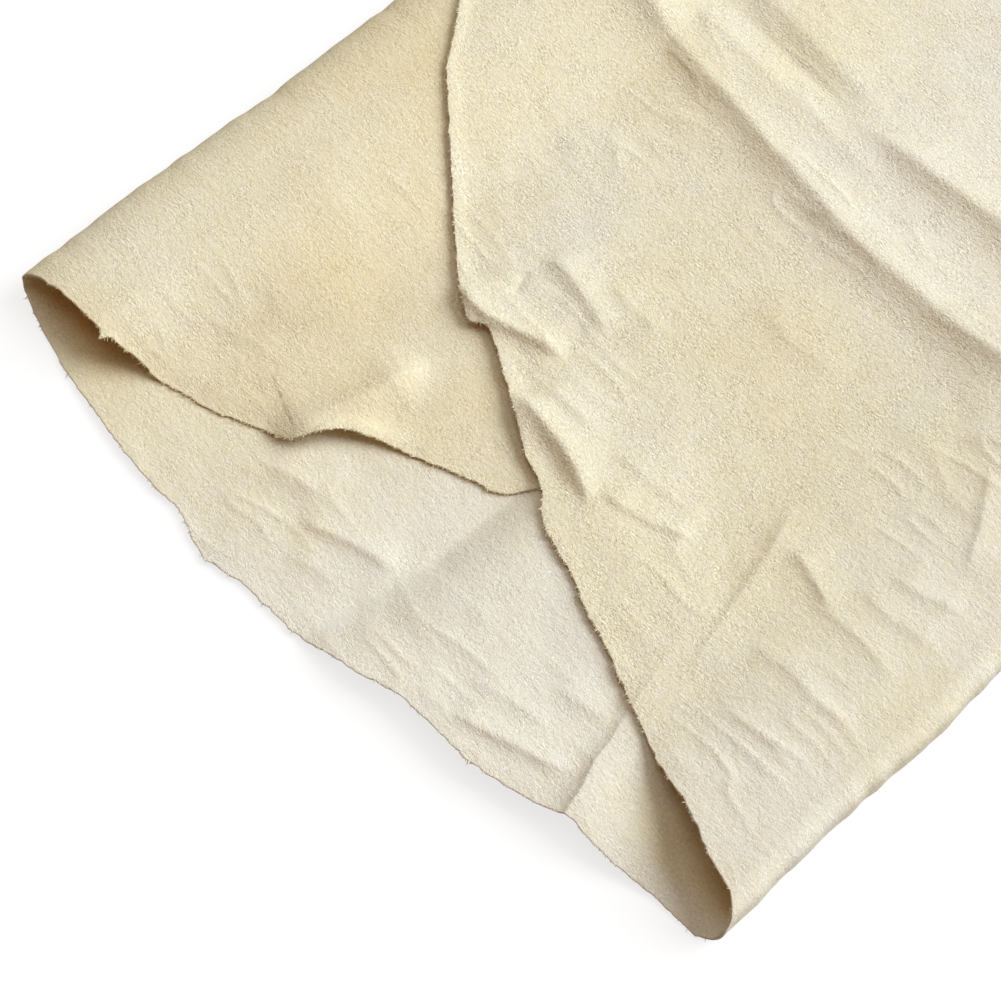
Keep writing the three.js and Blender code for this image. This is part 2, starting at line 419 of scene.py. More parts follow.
def pleat_up(x, s):
    """Rise of the base towards the crest of the pleat, which fades along the strip."""
    past = x - line_at(PLEAT_LINE, s)
    crest = np.where(past < 0, np.exp(past / PLEAT_LIP), np.exp(-((past / PLEAT_FALL) ** 2)))
    return PLEAT_HEIGHT * crest * np.exp(-((np.maximum(s - PLEAT_FULL_TO, 0) / PLEAT_LENGTH) ** 2))


def base_height(x, s):
    """Height of the middle of the skin in the base."""
    inside = ease((x - LEFT.centre_x) / BASE_RISE) * ease((RIGHT.centre_x - x) / BASE_RISE)
    plateau = ease((PLEAT_TO - x) / PLATEAU_EDGE) * change(s, *PLATEAU_FADE)
    lift = BASE_LIFT + unevenness(x, s, BASE_SWELLS, BASE_SEED, BASE_FINE_TO)
    lift = lift + step_up(x, s) * plateau + wrinkles(x, s, BASE_WRINKLES)
    return SKIN / 2 + soft_max(lift * inside, 0, BASE_SOFTNESS) * inside + pleat_up(x, s)


def left_height(x, s):
    """Height of the middle of the skin in the left flap, which lies on the base."""
    inside = ease((x - LEFT.end_x) / LEFT_RISE)
    lift = unevenness(x, s, LEFT_SWELLS, LEFT_SEED, LEFT_FINE_TO) + wrinkles(x, s, LEFT_WRINKLES)
    own = LEFT.fall_height(x, s) + lift * inside
    return soft_max(own, base_height(x, s) + SKIN + FLAP_REST, DRAPE_SOFTNESS)


def right_height(x, s):
    """Height of the middle of the skin in the right flap, which lies over the left one and the base."""
    inside = ease((RIGHT.end_x - x) / RIGHT_RISE)
    lift = unevenness(x, s, RIGHT_SWELLS, RIGHT_SEED, RIGHT_FINE_TO) + wrinkles(x, s, RIGHT_WRINKLES)
    own = RIGHT.fall_height(x, s) + lift * inside
    left_tip = LEFT_FREE[0][1] - HALF_WIDTH
    past_left = ease((x - left_tip + CROSSING) / (2 * CROSSING))
    under = mix(left_height(x, s), base_height(x, s), past_left)
    ridge = wrinkle(x, s, *LONG_RIDGE) * ease((RIDGE_OVER_TO - x) / RIDGE_OVER_EASE)
    softness = mix(DRAPE_SOFTNESS, BASE_DRAPE_SOFTNESS, past_left)
    return soft_max(own, under + SKIN + FLAP_REST + ridge, softness)


def rag(at, seed):
    """Small unevenness of a cut edge."""
    return swell_sum(at, 0 * at, RAG, seed)


def base_part(u, v):
    """Base: its columns follow the pleat."""
    straight = mix(LEFT.centre_x, RIGHT.centre_x, (np.clip(u, -1, 1) + 1) / 2)
    near = follow(BASE_NEAR, straight) + rag(straight, BASE_NEAR_SEED)
    far = 2 * HALF_LENGTH - follow(BASE_FAR, straight) + rag(straight, BASE_FAR_SEED)
    s = mix(near, far, v)
    before = (straight - PLEAT_FROM) / (PLEAT_START - PLEAT_FROM)
    after = (PLEAT_TO - straight) / (PLEAT_TO - PLEAT_START)
    share = np.clip(np.minimum(before, after), 0, 1)
    x = straight + share * (line_at(PLEAT_LINE, s) - PLEAT_START)
    return x, s, base_height(x, s), straight


def bend_part(fold, turn, v):
    """Round part of a fold: turn is 0 at the base and 1 where the flap begins."""
    angle = math.pi * turn + 2 * fold.dip * np.maximum(turn - 0.5, 0)
    x = fold.centre_x + fold.side * fold.round_in * np.sin(angle)
    rise = np.cos(angle)
    power = np.where(rise > 0, fold.power_low, fold.power_high)
    z = fold.centre_z - fold.radius * np.sign(rise) * np.abs(rise) ** power
    base_near = float(follow(BASE_NEAR, fold.centre_x))
    flap_near = float(follow(fold.near, fold.end_reach))
    ends = mix(base_near, flap_near, turn)
    bulge = 4 * turn * (1 - turn) * (fold.tip - (base_near + flap_near) / 2)
    far = mix(follow(BASE_FAR, fold.centre_x), follow(fold.far, fold.end_reach), turn)
    across = fold.side * (abs(fold.centre_x) + turn * fold.bend_length)
    s = mix(ends + bulge + rag(across, BEND_SEED), 2 * HALF_LENGTH - far, v)
    return x, s, z, across


def flap_part(fold, height, step, v):
    """Flap: step is 0 at the bend and 1 at the free edge."""
    free = follow(fold.free, v) + rag(v * FREE_RUN, FREE_SEED + fold.side)
    reach = mix(fold.end_reach, free, step)
    near_reach = mix(fold.end_reach, fold.free[0][1], step)
    far_reach = mix(fold.end_reach, fold.free[-1][1], step)
    near = follow(fold.near, near_reach) + rag(near_reach, FLAP_NEAR_SEED + fold.side)
    if fold is LEFT:
        near = near - TAG_LENGTH * np.exp(-(((near_reach - TAG_AT) / TAG_WIDTH) ** 2))
    far = 2 * HALF_LENGTH - follow(fold.far, far_reach) + rag(far_reach, FLAP_FAR_SEED + fold.side)
    x = fold.side * (HALF_WIDTH - reach)
    s = mix(near, far, v)
    across = fold.side * (abs(fold.centre_x) + fold.bend_length + reach - fold.end_reach)
    sink = np.interp(reach, *np.array(fold.sink, float).T)
    return x, s, height(x, s) - sink * np.exp(-(((s - near) / SINK_WIDTH) ** 2)), across


def fold_wander(x, s):
    """Small wander of the folds along the strip, another on each side."""
    swell = swell_sum(s, WANDER_ROW * np.sign(x), WANDER, WANDER_SEED)
    return ease((np.abs(x) - WANDER_FROM) / WANDER_OVER) * swell


def skin(u, v):
    """Middle of the skin in millimetres, and the same place measured across the flat skin.

    u is -3 at the left free edge, -2 to -1 in the left bend, -1 to 1 in the base,
    1 to 2 in the right bend and 3 at the right free edge; v is 0 at the near end.
    """
    parts = [
        flap_part(LEFT, left_height, np.clip(-2 - u, 0, 1), v),
        bend_part(LEFT, np.clip(-1 - u, 0, 1), v),
        base_part(u, v),
        bend_part(RIGHT, np.clip(u - 1, 0, 1), v),
        flap_part(RIGHT, right_height, np.clip(u - 2, 0, 1), v),
    ]
    here = [u < -2, u < -1, u <= 1, u <= 2, u > 2]
    x, s, z, across = (np.select(here, [part[k] for part in parts]) for k in range(4))
    x = x + fold_wander(x, s)
    return np.stack([x, s - HALF_LENGTH, z], axis=-1), across


# Tones, 0 pale and 1 buff, as changes over the flat skin: start, distance, value before, value after
LEFT_TONE = (60, 90, 0, 0.66)
LEFT_TONE_FREE = (175, 55, 1, 0.55)
LEFT_TONE_NEAR = (35, 50, 0.78, 1)
BASE_TONE = (-15, 80, 0.14, 0.48)
RIGHT_TONE = (150, 75, 0.2, 0.38)
RIGHT_TONE_FAR = (175, 30, 1, 0.7)
TONE_PATCHES = [(0.16, 48), (0.1, 19), (0.05, 7)]
TONE_SEED = 71

# How open the nap is, as changes across the flat skin
BASE_NAP = 0.7
LEFT_NAP = (100, 40, BASE_NAP, 0.9)
RIGHT_NAP = (150, 45, 0.62, 1.12)

# Where the right bend takes over from the base, in tone and in nap
RIGHT_FROM = 100
RIGHT_OVER = 40

# Painted shade: a browner tone on the inner face in the folds, for the shade in the fold mouths: how deep it
# is, and how far it reaches past the bend
PAINTED_FOLD_SHADES = [(LEFT, 0.8, 34.0), (RIGHT, 0.8, 40.0)]

# How that painted shade changes along the strip, and how it starts behind the cut edge
PAINTED_SHADE_ALONG = (25, 60, 1, 0.33)
PAINTED_SHADE_FROM = 1
PAINTED_SHADE_OVER = 11


def skin_tone(across, s):
    """0 where the skin is pale, 1 where it is buff: the base, the right fold and the far part are paler."""
    left = change(-across, *LEFT_TONE) * change(-across, *LEFT_TONE_FREE) * change(s, *LEFT_TONE_NEAR)
    base = change(-across, *BASE_TONE)
    right = change(across, *RIGHT_TONE) * change(s, *RIGHT_TONE_FAR)
    broad = np.where(across < 0, np.maximum(left, base), change(across, RIGHT_FROM, RIGHT_OVER, base, right))
    return np.clip(broad + swell_sum(across, s, TONE_PATCHES, TONE_SEED), 0, 1)


def painted_shade_in_folds(across, s):
    """Painted shade: a deeper tone on the inner face in the folds, most near their open end."""
    total = 0
    for fold, depth, reach in PAINTED_FOLD_SHADES:
        start = abs(fold.centre_x)
        at = fold.side * across
        away = np.maximum(np.maximum(start - at, at - start - fold.bend_length), 0)
        total = total + depth * ease(1 - away / reach)
    return total * change(s, *PAINTED_SHADE_ALONG)


def skin_nap(across):
    """How open the nap is: most on the right flap, least at its fold."""
    right = change(across, RIGHT_FROM, RIGHT_OVER, BASE_NAP, change(across, *RIGHT_NAP))
    return np.where(across < 0, change(-across, *LEFT_NAP), right)


# Rows close behind the cut edge, and the first of the others, as shares of a piece's length
EDGE_ROWS = [0, 0.0008, 0.002]
FIRST_ROW = 0.004


def row_shares(fine_to, fine, coarse):
    """Rows of a piece as shares of its length: close together as far as the near part is seen."""
    return np.concatenate([
        EDGE_ROWS,
        np.linspace(FIRST_ROW, fine_to, fine),
        np.linspace(fine_to, 1, coarse + 1)[1:],
    ])


LEFT_ROWS = row_shares(0.34, 230, 60)
BASE_ROWS = row_shares(0.22, 170, 70)
RIGHT_ROWS = row_shares(0.57, 370, 40)

# Step that slopes are measured over
NUDGE = 1e-3

# Share of the thickness that is left at the cut edges, in the bends and elsewhere
BEND_SHARE = 0.85
EDGE_SHARE = 0.45

# Where the one changes to the other, in u: the middle of a bend, how far from it, over what distance
BEND_MIDDLE = 1.5
BEND_SHARE_TO = 0.35
BEND_SHARE_OVER = 0.5

# How far in from a cut the skin is full, how round its rim is, and how far the shading leans out there
EDGE_TAPER = 1.6
EDGE_ROUND = 0.12
EDGE_LEAN = 0.4


def unit(vectors):
    return vectors / np.maximum(np.linalg.norm(vectors, axis=-1, keepdims=True), 1e-12)


def run(points, axis):
    """Distance walked from the first row or column of a grid of points."""
    gaps = np.linalg.norm(np.diff(points, axis=axis), axis=-1)
    start = np.zeros_like(np.take(gaps, [0], axis=axis))
    return np.concatenate([start, np.cumsum(gaps, axis=axis)], axis=axis)


def sheet_faces(index, loop):
    """Quads of the upper face, the lower face and the rim of a closed sheet."""
    count = index.size
    a, b = index[:-1, :-1].ravel(), index[:-1, 1:].ravel()
    c, d = index[1:, 1:].ravel(), index[1:, :-1].ravel()
    rim = 2 * count + np.arange(len(loop))
    rim_next = np.roll(rim, -1)
    loop_next = np.roll(loop, -1)
    return np.concatenate([
        np.stack([a, b, c, d], axis=1),
        np.stack([a, d, c, b], axis=1) + count,
        np.stack([loop, rim, rim_next, loop_next], axis=1),
        np.stack([rim, loop + count, loop_next + count, rim_next], axis=1),
    ])


def add_piece(name, points, faces, place, tone, normals=None):
    """Smooth mesh from points in millimetres, with its place on the flat skin, its tone, which on the sheets
    holds painted shade in the folds, and its nap.
    """
    mesh = bpy.data.meshes.new(name)
    mesh.from_pydata((points * MM).tolist(), [], faces)
    mesh.polygons.foreach_set("use_smooth", [True] * len(mesh.polygons))
    if normals is not None:
        mesh.normals_split_custom_set_from_vertices(normals.tolist())
    attributes = (
        ("skin", "FLOAT_VECTOR", "vector", place),
        ("tone", "FLOAT", "value", tone),
        ("nap", "FLOAT", "value", skin_nap(place[:, 0])),
    )
    for title, kind, field, values in attributes:
        layer = mesh.attributes.new(title, kind, "POINT")
        layer.data.foreach_set(field, values.astype(np.float32).ravel())
    piece = bpy.data.objects.new(name, mesh)
    bpy.context.scene.collection.objects.link(piece)
    return piece


def build_sheet(name, columns, row_places, cut_start, cut_end):
    """Closed sheet between two columns of the skin, thinner and rounded where the leather is cut."""
    u, v = np.meshgrid(columns, row_places)
    middle, flat_across = skin(u, v)
    across = unit(skin(u + NUDGE, v)[0] - skin(u - NUDGE, v)[0])
    along = unit(skin(u, v + NUDGE)[0] - skin(u, v - NUDGE)[0])
    normal = unit(np.cross(across, along))

    # Distance from the nearest cut edge, which the thickness follows, and the way out of the skin there
    row_run = run(middle, 0)
    column_run = run(middle, 1)
    edge = np.minimum(row_run, row_run[-1] - row_run)
    outward = np.zeros_like(middle)
    outward[0] -= along[0]
    outward[-1] += along[-1]
    if cut_start:
        edge = np.minimum(edge, column_run)
        outward[:, 0] -= across[:, 0]
    if cut_end:
        edge = np.minimum(edge, column_run[:, -1:] - column_run)
        outward[:, -1] += across[:, -1]
    cut = np.linalg.norm(outward, axis=-1) > 0.5
    outward = np.where(cut[..., None], unit(outward), 0)
    bend_away = np.abs(np.abs(u) - BEND_MIDDLE)
    left_at_cut = change(bend_away, BEND_SHARE_TO, BEND_SHARE_OVER, BEND_SHARE, EDGE_SHARE)
    half = (SKIN / 2 * mix(left_at_cut, 1, ease(edge / EDGE_TAPER))).reshape(-1, 1)
    place = np.stack([flat_across, middle[..., 1] + HALF_LENGTH, 0 * flat_across], axis=-1)

    # Perimeter: along the near end, up the last column, back along the far end, down the first column
    index = np.arange(u.size).reshape(u.shape)
    loop = np.concatenate([index[0, :-1], index[:-1, -1], index[-1, :0:-1], index[:0:-1, 0]])

    middle, normal, outward, place = (grid.reshape(-1, 3) for grid in (middle, normal, outward, place))
    points = np.concatenate([
        middle + normal * half,
        middle - normal * half,
        middle[loop] + EDGE_ROUND * outward[loop],
    ])
    normals = np.concatenate([
        unit(normal + EDGE_LEAN * outward),
        unit(-normal + EDGE_LEAN * outward),
        unit(outward[loop] + 1e-6 * normal[loop]),
    ])
    tone = skin_tone(place[:, 0], place[:, 1])
    # The inner face's tone also carries painted shade in the folds, fading in behind the cut edge
    painted_shade_fade_in = ease((row_run.ravel() - PAINTED_SHADE_FROM) / PAINTED_SHADE_OVER)
    inner = tone + painted_shade_in_folds(place[:, 0], place[:, 1]) * painted_shade_fade_in
    piece = add_piece(
        name, points, sheet_faces(index, loop).tolist(),
        np.concatenate([place, place, place[loop]]), np.concatenate([inner, tone, tone[loop]]), normals,
    )
    rim = {
        "at": middle[loop], "outward": outward[loop], "normal": normal[loop],
        "cut": cut.ravel()[loop], "place": place[loop], "tone": tone[loop], "row": v.ravel()[loop],
    }
    return piece, rim


# Loose fibres of the cut edges, in millimetres: how they stand, and how long and thick they are
FIBRE_RISE = (-0.1, 0.26)
FIBRE_SUNK = 0.05
FIBRE_SIDEWAYS = 0.7
FIBRE_UP = 0.15
FIBRE_UP_SPREAD = 0.4
FIBRE_LENGTH = 0.55
FIBRE_LENGTH_SPREAD = 0.42
FIBRE_SHORTEST = 0.25
FIBRE_LONGEST = 2.0
FIBRE_STRAY = 0.22
FIBRE_THICKNESS = (0.06, 0.14)

# Shares of a fibre's thickness at the foot, halfway and at the tip, and how many sides it has
FIBRE_RINGS = (1.3, 0.8, 0.2)
FIBRE_SIDES = 3

# Where the fibres grow: in tufts, fewer past a share of the length, and not across long gaps
TUFT_SIZE = 2.2
TUFT_COVER = 0.6
TUFT_CONTRAST = 0.9
FEWER_FROM = 0.62
FEWER_SHARE = 0.35
LONGEST_GAP = 20


def fibre_faces(count):
    """Sides and caps of the fibres, which have three rings of points each."""
    sides = FIBRE_SIDES
    first = len(FIBRE_RINGS) * sides * np.arange(count)[:, None]
    shapes = []
    for ring in (0, sides):
        for i in range(sides):
            after = (i + 1) % sides
            shapes.append([ring + i, ring + after, ring + sides + after, ring + sides + i])
    shapes.append(list(range(sides))[::-1])
    shapes.append(list(range(2 * sides, 3 * sides)))
    return [face for shape in shapes for face in (first + np.array(shape)).tolist()]


def add_fibres(name, rim, each_mm, seed):
    """Loose fibres along the cut edges of a sheet."""
    rng = np.random.default_rng(seed)
    at, ahead = rim["at"], np.roll(rim["at"], -1, axis=0)
    gap = np.linalg.norm(ahead - at, axis=1)
    both = rim["cut"] & np.roll(rim["cut"], -1)
    share = np.where(both & (gap < LONGEST_GAP), gap, 0)
    share = np.where(rim["row"] > FEWER_FROM, share * FEWER_SHARE, share)
    tufts = swells(rim["place"][:, 0], rim["place"][:, 1], TUFT_SIZE, seed)
    share = share * ease(TUFT_COVER + TUFT_CONTRAST * tufts)
    count = int(share.sum() * each_mm)
    pick = rng.choice(len(at), count, p=share / share.sum())

    # Foot and direction of each fibre
    foot = mix(at[pick], ahead[pick], rng.random((count, 1)))
    outward, normal = rim["outward"][pick], rim["normal"][pick]
    tangent = np.cross(normal, outward)
    up = np.where(normal[:, 2:] < 0, -normal, normal)
    foot = foot + up * rng.uniform(*FIBRE_RISE, (count, 1)) - FIBRE_SUNK * outward
    sideways = rng.normal(0, FIBRE_SIDEWAYS, (count, 1))
    upwards = rng.normal(FIBRE_UP, FIBRE_UP_SPREAD, (count, 1))
    way = unit(outward + tangent * sideways + up * upwards)

    # Length, stray and thickness, then three rings from foot to tip
    length = rng.lognormal(math.log(FIBRE_LENGTH), FIBRE_LENGTH_SPREAD, (count, 1))
    length = np.clip(length, FIBRE_SHORTEST, FIBRE_LONGEST)
    stray = rng.normal(0, FIBRE_STRAY, (count, 3)) * length
    thick = rng.uniform(*FIBRE_THICKNESS, (count, 1))
    tip = foot + way * length + stray
    side_a = unit(np.cross(way, normal + 0.01))
    side_b = np.cross(way, side_a)
    points = []
    for middle, wide in zip((foot, mix(foot, tip, 0.5), tip), FIBRE_RINGS):
        for turn in range(FIBRE_SIDES):
            angle = turn * 2 * math.pi / FIBRE_SIDES
            points.append(middle + wide * thick * (math.cos(angle) * side_a + math.sin(angle) * side_b))
    each = len(points)
    points = np.stack(points, axis=1).reshape(-1, 3)
    place = np.repeat(rim["place"][pick], each, axis=0)
    tone = np.repeat(rim["tone"][pick], each)
    return add_piece(name, points, fibre_faces(count), place, tone)


# Colours of the leather, written 0 to 255, and where two of them come on a ramp from pale to the brown of
# the painted shade in the folds
PALE = (240, 234, 220)
CREAM = (237, 226, 195)
BUFF = (232, 214, 170)
# Brown at the deep end of the ramp, which the painted shade in the folds reaches
FOLD_SHADE_BROWN = (234, 180, 118)
CREAM_AT = 0.25
BUFF_AT = 0.5

# Surface of the leather
ROUGHNESS = 0.95
SPECULAR = 0.1
SHEEN = 0.15
SHEEN_ROUGHNESS = 0.45
SHEEN_TINT = (250, 240, 215)

# Nap: sizes in millimetres, then how much each kind of noise shades or raises the leather
FLECK_SIZE = 0.46
FLECK_STRETCH = 1.7
FLECK_TURN = 0.2
FLECK_WARP = 0.6
FLECK_SHADE = 0.75
GRAIN_SIZE = 0.3
GRAIN_SHADE = (0.93, 1.06)
GRAIN_HEIGHT = 0.3
LUMP_SIZE = 1.6
LUMP_STRETCH = 1.7
LUMP_TURN = 0.15
LUMP_WARP = 0.4
MOTTLE_SIZE = 3.5
MOTTLE_TONE = (-0.1, 0.1)
PATCH_SIZE = 6
PATCH_NAP = (0.45, 1.45)
BUMP_STRENGTH = 0.8
BUMP_DISTANCE = 0.00024


def linear(colour):
    """Linear light from a colour written 0 to 255."""
    share = np.array(colour) / 255
    return [*np.where(share <= 0.04045, share / 12.92, ((share + 0.055) / 1.055) ** 2.4), 1.0]


def add_leather():
    """Pale suede: cream and buff patches, painted shade in the folds, and a nap of short flecks."""
    material = bpy.data.materials.new("chamois")
    material.use_nodes = True
    nodes = material.node_tree.nodes
    links = material.node_tree.links
    shader = nodes["Principled BSDF"]
    shader.inputs["Roughness"].default_value = ROUGHNESS
    shader.inputs["Specular IOR Level"].default_value = SPECULAR
    shader.inputs["Sheen Weight"].default_value = SHEEN
    shader.inputs["Sheen Roughness"].default_value = SHEEN_ROUGHNESS
    shader.inputs["Sheen Tint"].default_value = linear(SHEEN_TINT)

    def attribute(title):
        node = nodes.new("ShaderNodeAttribute")
        node.attribute_name = title
        return node.outputs

    place = attribute("skin")["Vector"]

    def noise(size, detail, stretch=1.0, turn=0.0, warp=0.0):
        mapping = nodes.new("ShaderNodeMapping")
        mapping.inputs["Rotation"].default_value = (0, 0, turn)
        mapping.inputs["Scale"].default_value = (1 / (size * stretch), 1 / size, 1)
        texture = nodes.new("ShaderNodeTexNoise")
        texture.noise_dimensions = "2D"
        texture.inputs["Scale"].default_value = 1.0
        texture.inputs["Detail"].default_value = detail
        texture.inputs["Distortion"].default_value = warp
        links.new(place, mapping.inputs["Vector"])
        links.new(mapping.outputs["Vector"], texture.inputs["Vector"])
        return texture.outputs["Fac"]

    def spread(value, low, high):
        """Noise between a quarter and three quarters, spread to other limits."""
        node = nodes.new("ShaderNodeMapRange")
        node.inputs["From Min"].default_value = 0.25
        node.inputs["From Max"].default_value = 0.75
        node.inputs["To Min"].default_value = low
        node.inputs["To Max"].default_value = high
        links.new(value, node.inputs["Value"])
        return node.outputs["Result"]

    def maths(operation, a, b):
        node = nodes.new("ShaderNodeMath")
        node.operation = operation
        for socket, value in zip(node.inputs, (a, b)):
            if isinstance(value, (int, float)):
                socket.default_value = value
            else:
                links.new(value, socket)
        return node.outputs["Value"]

    # Colour: broad tone of the skin, with painted shade in the folds towards the brown end of the ramp,
    # darker flecks where the nap opens
    ramp = nodes.new("ShaderNodeValToRGB")
    stops = ramp.color_ramp.elements
    stops[0].position = 0.0
    stops[0].color = linear(PALE)
    stops[1].position = 1.0
    stops[1].color = linear(FOLD_SHADE_BROWN)
    for position, colour in ((CREAM_AT, CREAM), (BUFF_AT, BUFF)):
        stops.new(position).color = linear(colour)
    tone = maths("ADD", attribute("tone")["Fac"], spread(noise(MOTTLE_SIZE, 3), *MOTTLE_TONE))
    links.new(maths("MULTIPLY", tone, BUFF_AT), ramp.inputs["Fac"])

    flecks = noise(FLECK_SIZE, 2, FLECK_STRETCH, FLECK_TURN, FLECK_WARP)
    grain = noise(GRAIN_SIZE, 1)
    rough = maths("MULTIPLY", spread(noise(PATCH_SIZE, 3), *PATCH_NAP), attribute("nap")["Fac"])
    fine = maths("MULTIPLY", maths("SUBTRACT", flecks, 0.5), rough)
    shade = maths("ADD", maths("MULTIPLY", fine, FLECK_SHADE), spread(grain, *GRAIN_SHADE))
    tint = nodes.new("ShaderNodeMix")
    tint.data_type = "RGBA"
    tint.blend_type = "MULTIPLY"
    tint.inputs["Factor"].default_value = 1.0
    links.new(ramp.outputs["Color"], tint.inputs["A"])
    links.new(shade, tint.inputs["B"])
    links.new(tint.outputs["Result"], shader.inputs["Base Color"])

    # Nap: flecks, finer grain, and soft lumps
    height = maths("ADD", fine, maths("MULTIPLY", grain, GRAIN_HEIGHT))
    height = maths("ADD", height, noise(LUMP_SIZE, 3, LUMP_STRETCH, LUMP_TURN, LUMP_WARP))
    bump = nodes.new("ShaderNodeBump")
    bump.inputs["Strength"].default_value = BUMP_STRENGTH
    bump.inputs["Distance"].default_value = BUMP_DISTANCE
    links.new(height, bump.inputs["Height"])
    links.new(bump.outputs["Normal"], shader.inputs["Normal"])
    return material


# Where the sheets meet, in u, how many columns each has, and its rows; the base has its own columns
SEAM_IN = 0.04
FIRST_CUT = 2.33
SECOND_CUT = 2.66
LEFT_END = -3
RIGHT_END = 3
PIECES = [
    ("left_sheet", LEFT_END, -2 - SEAM_IN, 150, LEFT_ROWS),
    ("left_upper", -2 - SEAM_IN, -1.5, 15, LEFT_ROWS),
    ("left_lower", -1.5, -1 + SEAM_IN, 15, LEFT_ROWS),
    ("base_sheet", -1 + SEAM_IN, 1 - SEAM_IN, None, BASE_ROWS),
    ("right_lower", 1 - SEAM_IN, 1.5, 15, RIGHT_ROWS),
    ("right_upper", 1.5, 2 + SEAM_IN, 15, RIGHT_ROWS),
    ("right_sheet", 2 + SEAM_IN, FIRST_CUT, 108, RIGHT_ROWS),
    ("right_middle", FIRST_CUT, SECOND_CUT, 108, RIGHT_ROWS),
    ("right_free", SECOND_CUT, RIGHT_END, 108, RIGHT_ROWS),
]

# Fibres for each millimetre of cut edge, and the first of their seeds
FIBRES_EACH_MM = {"left_sheet": 7.0, "right_sheet": 11.0, "right_middle": 11.0, "right_free": 11.0}
FEWER_FIBRES = 1.6
FIBRE_SEED = 100

# Columns of the base: how many before, beside and after the pleat, and how far it counts each way
BASE_COLUMNS = (150, 17, 30)
PLEAT_BEFORE = 4
PLEAT_AFTER = 1


def base_columns(start, end):
    """Columns of the base, close together along the pleat."""
    half = (RIGHT.centre_x - LEFT.centre_x) / 2
    middle = (RIGHT.centre_x + LEFT.centre_x) / 2
    before, beside, after = BASE_COLUMNS
    places = np.concatenate([
        np.linspace(middle + start * half, PLEAT_START - PLEAT_BEFORE, before, endpoint=False),
        np.linspace(PLEAT_START - PLEAT_BEFORE, PLEAT_START + PLEAT_AFTER, beside, endpoint=False),
        np.linspace(PLEAT_START + PLEAT_AFTER, middle + end * half, after),
    ])
    return (places - middle) / half


leather = add_leather()
sheets = {}
fibres = {}
for number, (name, start, end, count, row_places) in enumerate(PIECES):
    columns = np.linspace(start, end, count) if count else base_columns(start, end)
    sheets[name], rim = build_sheet(name, columns, row_places, start == LEFT_END, end == RIGHT_END)
    each_mm = FIBRES_EACH_MM.get(name, FEWER_FIBRES)
    fibres[name] = add_fibres(name + "_fibres", rim, each_mm, FIBRE_SEED + number)
    for piece in (sheets[name], fibres[name]):
        piece.data.materials.append(leather)


# Where the skin turns about the hinges: distances in from the outside of a fold
TURN_IN = 5.5
TURN_OUT = 2.6


def bend_points(fold):
    """Where a bend starts to turn from the base, its outside, and where it joins the flap, in metres."""
    inner = fold.side * (HALF_WIDTH - TURN_IN)
    base = Vector((inner, 0, fold.centre_z - TURN_IN)) * MM
    outside = Vector((fold.side * (HALF_WIDTH - TURN_OUT), 0, fold.centre_z)) * MM
    top = Vector((inner, 0, fold.centre_z + TURN_IN)) * MM
    return base, outside, top


def carry(name, slot_name, bodies, points=None):
    """A sheet and its fibres ride on one body, or, where bend points are given, stay fixed where they are.
    """
    for piece in (sheets[name], fibres[name]):
        if points is None:
            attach(piece, bodies[0])
        else:
            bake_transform(piece)
    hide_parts(slot_name)


carry("base_sheet", "base_panel", ["base"])
for side, fold in (("left", LEFT), ("right", RIGHT)):
    base, outside, top = bend_points(fold)
    flap, bend = side + "_flap", side + "_bend"
    carry(side + "_sheet", flap, [flap])
    carry(side + "_lower", bend, ["base", bend], (base, outside))
    carry(side + "_upper", bend, [bend, flap], (outside, top))
carry("right_middle", "right_flap", ["right_flap"])
carry("right_free", "right_flap", ["right_flap"])


# Floor, in metres: its colour where it only lights, and its colour and glow where it is seen
FLOOR_HALF = 3.0
FLOOR_DROP = 0.0002
FLOOR_LIT = (0.42, 0.4, 0.37, 1)
FLOOR_SEEN = (0.3, 0.3, 0.3, 1)
FLOOR_GLOW = 0.765

# Studio light: places in metres, powers in watts; the room's colour changes from the near to the far side
LIT = (0.0, -0.12, 0.0)
KEY_AT = (2.36, 4.1, 3.48)
KEY_SIZE = 4.8
KEY_POWER = 398
TOP_AT = (-0.4, 0.1, 1.6)
TOP_SIZE = 1.2
TOP_POWER = 5
LAMP_COLOUR = (0.956, 1.02, 1.09)
ROOM = 0.26
ROOM_NEAR = (0.74, 0.3, 0.08, 1.0)
ROOM_FAR = (1.16, 1.2, 0.94, 1.0)
ROOM_BLEND = 0.6
WHITE = (1, 1, 1, 1)


def by_sight(tree, lit, seen, output):
    """Shader that is one thing where it is seen, directly or reflected, and another where it only lights."""
    rays = tree.nodes.new("ShaderNodeLightPath")
    sight = rays.outputs["Is Camera Ray"]
    for title in ("Is Glossy Ray", "Is Transmission Ray"):
        either = tree.nodes.new("ShaderNodeMath")
        either.operation = "MAXIMUM"
        tree.links.new(sight, either.inputs[0])
        tree.links.new(rays.outputs[title], either.inputs[1])
        sight = either.outputs["Value"]
    choose = tree.nodes.new("ShaderNodeMixShader")
    tree.links.new(sight, choose.inputs["Fac"])
    tree.links.new(lit, choose.inputs[1])
    tree.links.new(seen, choose.inputs[2])
    tree.links.new(choose.outputs["Shader"], output.inputs["Surface"])


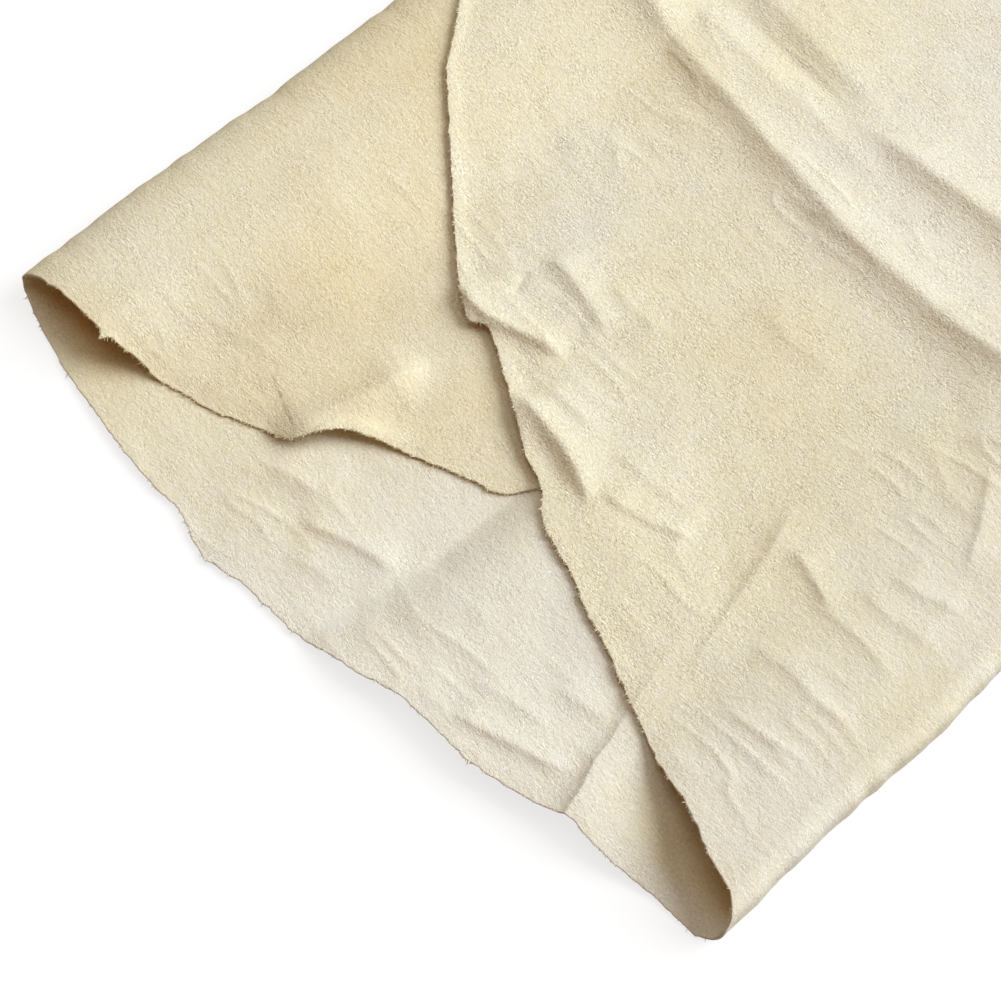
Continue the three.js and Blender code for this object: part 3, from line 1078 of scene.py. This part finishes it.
def add_floor():
    """White floor that shows the object's shadow."""
    corners = [(x * FLOOR_HALF, y * FLOOR_HALF, 0) for x, y in ((-1, -1), (1, -1), (1, 1), (-1, 1))]
    mesh = bpy.data.meshes.new("floor")
    mesh.from_pydata(corners, [], [(0, 1, 2, 3)])
    floor = bpy.data.objects.new("floor", mesh)
    floor.location = (0, 0, -FLOOR_DROP)
    bpy.context.scene.collection.objects.link(floor)
    material = bpy.data.materials.new("floor")
    material.use_nodes = True
    nodes = material.node_tree.nodes
    links = material.node_tree.links
    nodes.remove(nodes["Principled BSDF"])
    matte = nodes.new("ShaderNodeBsdfDiffuse")
    matte.inputs["Color"].default_value = FLOOR_LIT
    seen = nodes.new("ShaderNodeBsdfDiffuse")
    seen.inputs["Color"].default_value = FLOOR_SEEN
    glow = nodes.new("ShaderNodeEmission")
    glow.inputs["Strength"].default_value = FLOOR_GLOW
    both = nodes.new("ShaderNodeAddShader")
    links.new(seen.outputs["BSDF"], both.inputs[0])
    links.new(glow.outputs["Emission"], both.inputs[1])
    by_sight(material.node_tree, matte.outputs["BSDF"], both.outputs["Shader"], nodes["Material Output"])
    floor.data.materials.append(material)


def add_lamp(name, at, target, size, power):
    lamp = bpy.data.objects.new(name, bpy.data.lights.new(name, "AREA"))
    lamp.data.shape = "DISK"
    lamp.data.size = size
    lamp.data.energy = power
    lamp.data.color = LAMP_COLOUR
    lamp.location = at
    aim(lamp, target)
    bpy.context.scene.collection.objects.link(lamp)


def add_room():
    """Dim room, warm on the near side, that is seen as white."""
    world = bpy.data.worlds.new("room")
    world.use_nodes = True
    nodes = world.node_tree.nodes
    links = world.node_tree.links
    room = nodes["Background"]
    room.inputs["Strength"].default_value = ROOM
    direction = nodes.new("ShaderNodeTexCoord")
    parts = nodes.new("ShaderNodeSeparateXYZ")
    links.new(direction.outputs["Generated"], parts.inputs["Vector"])
    away = nodes.new("ShaderNodeMapRange")
    away.inputs["From Min"].default_value = -ROOM_BLEND
    away.inputs["From Max"].default_value = ROOM_BLEND
    links.new(parts.outputs["Y"], away.inputs["Value"])
    walls = nodes.new("ShaderNodeMix")
    walls.data_type = "RGBA"
    walls.inputs["A"].default_value = ROOM_NEAR
    walls.inputs["B"].default_value = ROOM_FAR
    links.new(away.outputs["Result"], walls.inputs["Factor"])
    links.new(walls.outputs["Result"], room.inputs["Color"])
    white = nodes.new("ShaderNodeBackground")
    white.inputs["Color"].default_value = WHITE
    lit, seen = room.outputs["Background"], white.outputs["Background"]
    by_sight(world.node_tree, lit, seen, nodes["World Output"])
    bpy.context.scene.world = world


# Floor and soft light: one large lamp from beyond the right of the strip, a weak one overhead, the room
add_floor()
add_room()
add_lamp("key", KEY_AT, LIT, KEY_SIZE, KEY_POWER)
add_lamp("top", TOP_AT, LIT, TOP_SIZE, TOP_POWER)
bpy.context.scene.view_settings.view_transform = "Standard"
